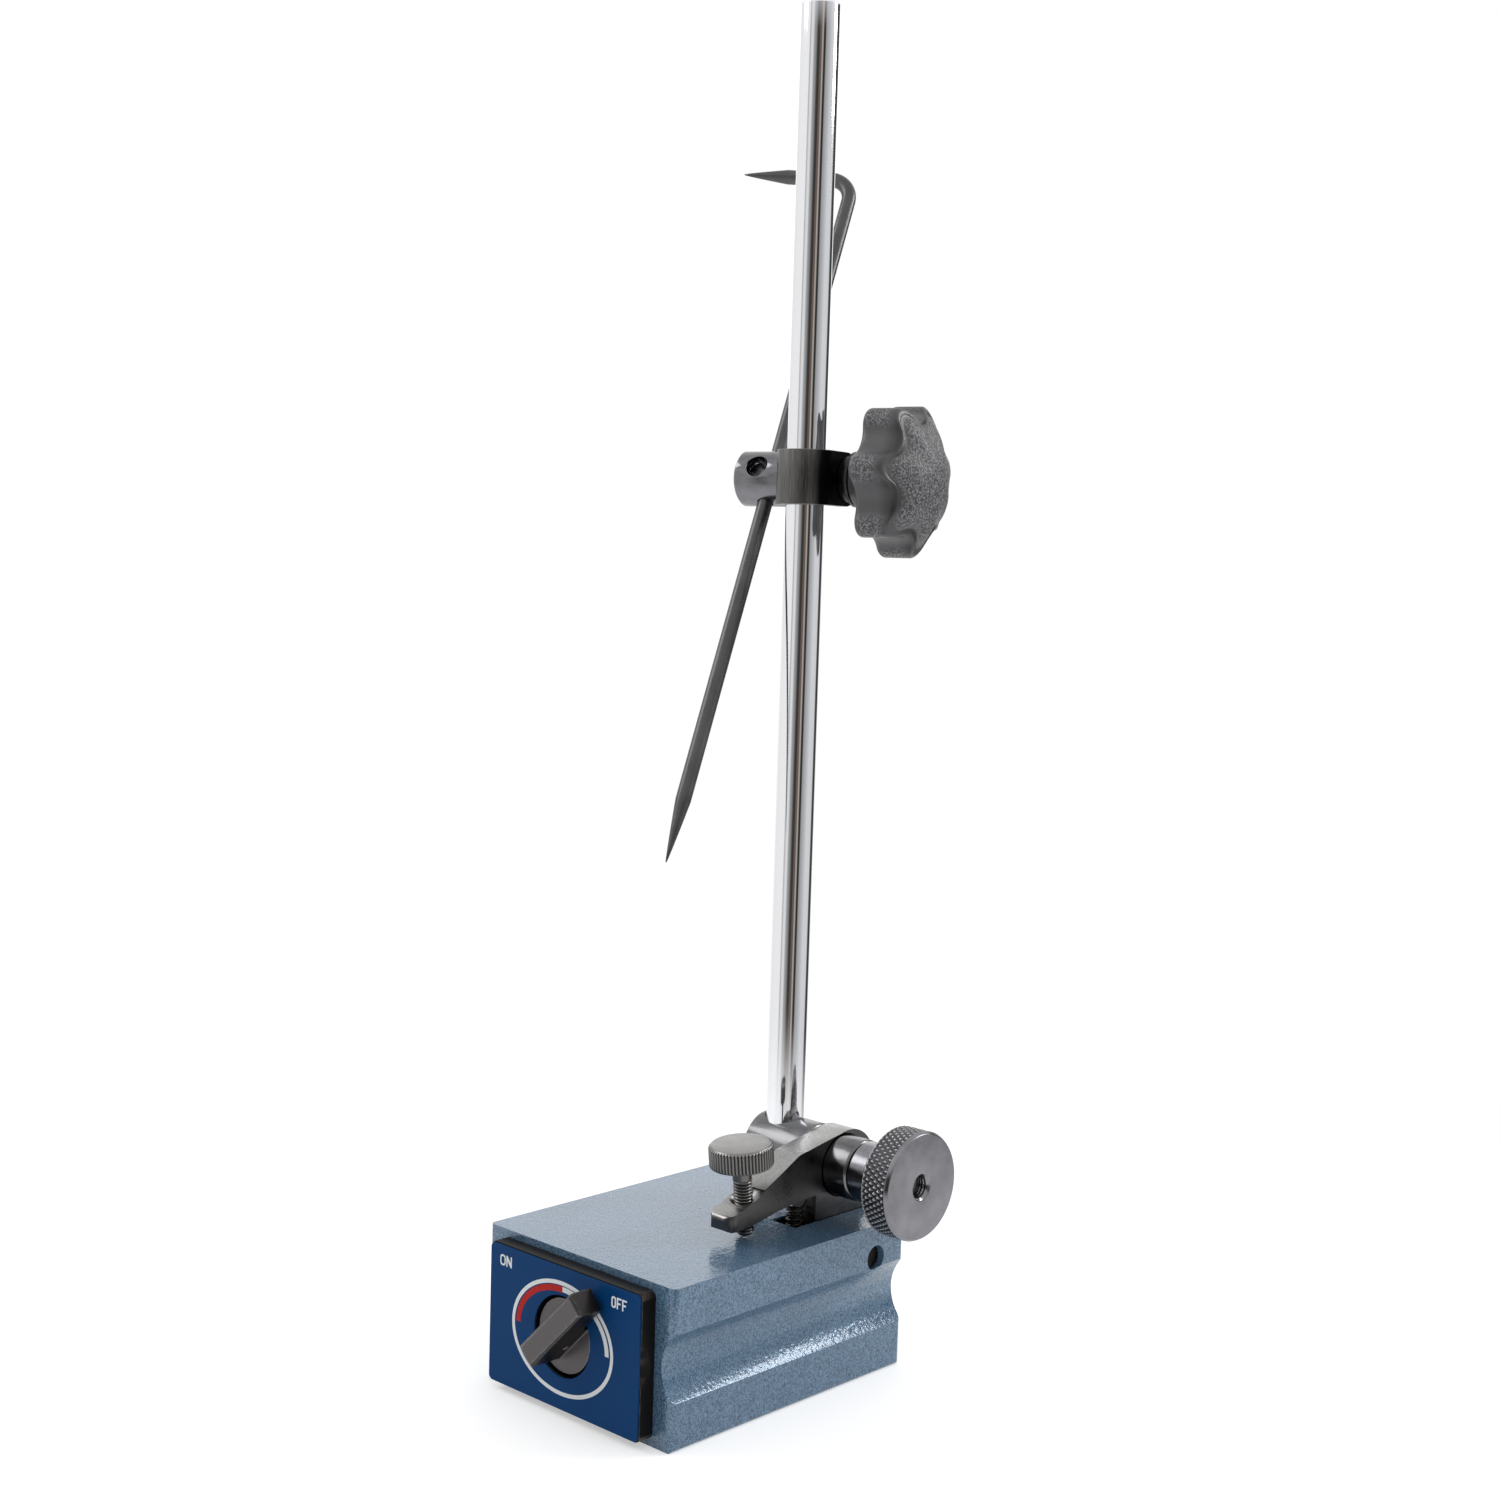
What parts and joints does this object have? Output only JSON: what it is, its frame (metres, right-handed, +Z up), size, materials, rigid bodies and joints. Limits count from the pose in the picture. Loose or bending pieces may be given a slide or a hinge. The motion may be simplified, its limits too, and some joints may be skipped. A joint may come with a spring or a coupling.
{
  "type": "surface gauge",
  "caption": "Magnetic-base surface gauge: a tilting rocker with a fine screw, a clamped upright spindle and a bent scriber held in a strap clamp with a star knob.",
  "frame": {"origin": "centre of the base's sole, on the surface that it stands on", "axes": "+Z up along the spindle, -Y towards the switch dial, +X towards the spindle clamp's knob"},
  "size_m": [0.1029, 0.1318, 0.3473],
  "materials": {
    "base_paint": "hammertone paint, ground bare on the sole",
    "strip_brass": "turned",
    "bright_steel": "turned",
    "plate_black": "satin black",
    "dial_print": "printed blue, satin",
    "magnet_alloy": "as cast",
    "soft_iron": "turned",
    "lever_alloy": "cast, satin grey",
    "black_steel": "black oxide",
    "spring_steel": "drawn wire",
    "knob_steel": "knurled, black oxide",
    "rod_chrome": "ground and plated",
    "star_plastic": "spark-textured dome",
    "scriber_steel": "black oxide, ground points"
  },
  "bodies": {
    "base": {"pole_left": "base_paint", "pole_right": "base_paint", "pole_separator": "strip_brass", "pivot_pin": "bright_steel", "front_plate": "plate_black", "plate_screws": "bright_steel", "dial_label": "dial_print", "rocker_spring": "spring_steel"},
    "switch": {"rotor_magnet": "magnet_alloy", "rotor_shoes": "soft_iron", "rotor_spigot": "strip_brass", "stop_pin": "bright_steel", "lever_pin": "bright_steel", "switch_lever": "lever_alloy"},
    "rocker": {"rocker": "black_steel"},
    "fine_screw": {"fine_screw": "black_steel"},
    "spindle_clamp": {"spindle_sleeve": "black_steel", "draw_stud": "black_steel", "clamp_collar": "black_steel"},
    "clamp_knob": {"clamp_knob": "knob_steel"},
    "spindle": {"spindle": "rod_chrome"},
    "strap": {"strap": "black_steel", "knob_spacer": "black_steel", "knob_washer": "bright_steel"},
    "scriber_clamp": {"scriber_sleeve": "black_steel", "scriber_stud": "black_steel"},
    "star_knob": {"star_knob": "star_plastic", "star_knob_insert": "strip_brass"},
    "scriber": {"scriber": "scriber_steel"}
  },
  "joints": [
    {"name": "switch_turn", "type": "hinge", "parent": "base", "child": "switch", "pos_m": [0, -0.04, 0.0202], "axis": [0, -1, 0], "range_deg": [0, 90]},
    {"name": "rocker_tilt", "type": "hinge", "parent": "base", "child": "rocker", "pos_m": [0.0165, 0.0305, 0.0306], "axis": [1, 0, 0], "range_deg": [-8, 3], "deforming": ["rocker_spring"]},
    {"name": "fine_screw_travel", "type": "slide", "parent": "rocker", "child": "fine_screw", "axis": [0, -0.1097, 0.994], "range_m": [-0.0046, 0.0018]},
    {"name": "spindle_tilt", "type": "hinge", "parent": "rocker", "child": "spindle_clamp", "pos_m": [0, 0.031, 0.05205], "axis": [1, 0, 0], "range_deg": [-75, 60]},
    {"name": "clamp_knob_turn", "type": "hinge", "parent": "spindle_clamp", "child": "clamp_knob", "pos_m": [0.038, 0.031, 0.05205], "axis": [1, 0, 0], "range_deg": [0, 360]},
    {"name": "spindle_turn", "type": "hinge", "parent": "spindle_clamp", "child": "spindle", "pos_m": [0, 0.031, 0.05205], "axis": [0, 0, 1], "continuous": true},
    {"name": "strap_slide", "type": "slide", "parent": "spindle", "child": "strap", "axis": [0, 0, 1], "range_m": [-0.06, 0.105]},
    {"name": "scriber_swivel", "type": "hinge", "parent": "strap", "child": "scriber_clamp", "pos_m": [-0.00212, 0.03949, 0.2283], "axis": [0.9703, 0.2419, 0], "continuous": true},
    {"name": "scriber_slide", "type": "slide", "parent": "scriber_clamp", "child": "scriber", "axis": [-0.1079, 0.4329, 0.8949], "range_m": [-0.07, 0.075]},
    {"name": "star_knob_turn", "type": "hinge", "parent": "scriber_clamp", "child": "star_knob", "pos_m": [0.01729, 0.04433, 0.2283], "axis": [0.9703, 0.2419, 0], "range_deg": [0, 360]}
  ],
  "couplings": [
    {"joint": "fine_screw_travel", "follows": "rocker_tilt", "m_per_rad": 0.0313}
  ]
}
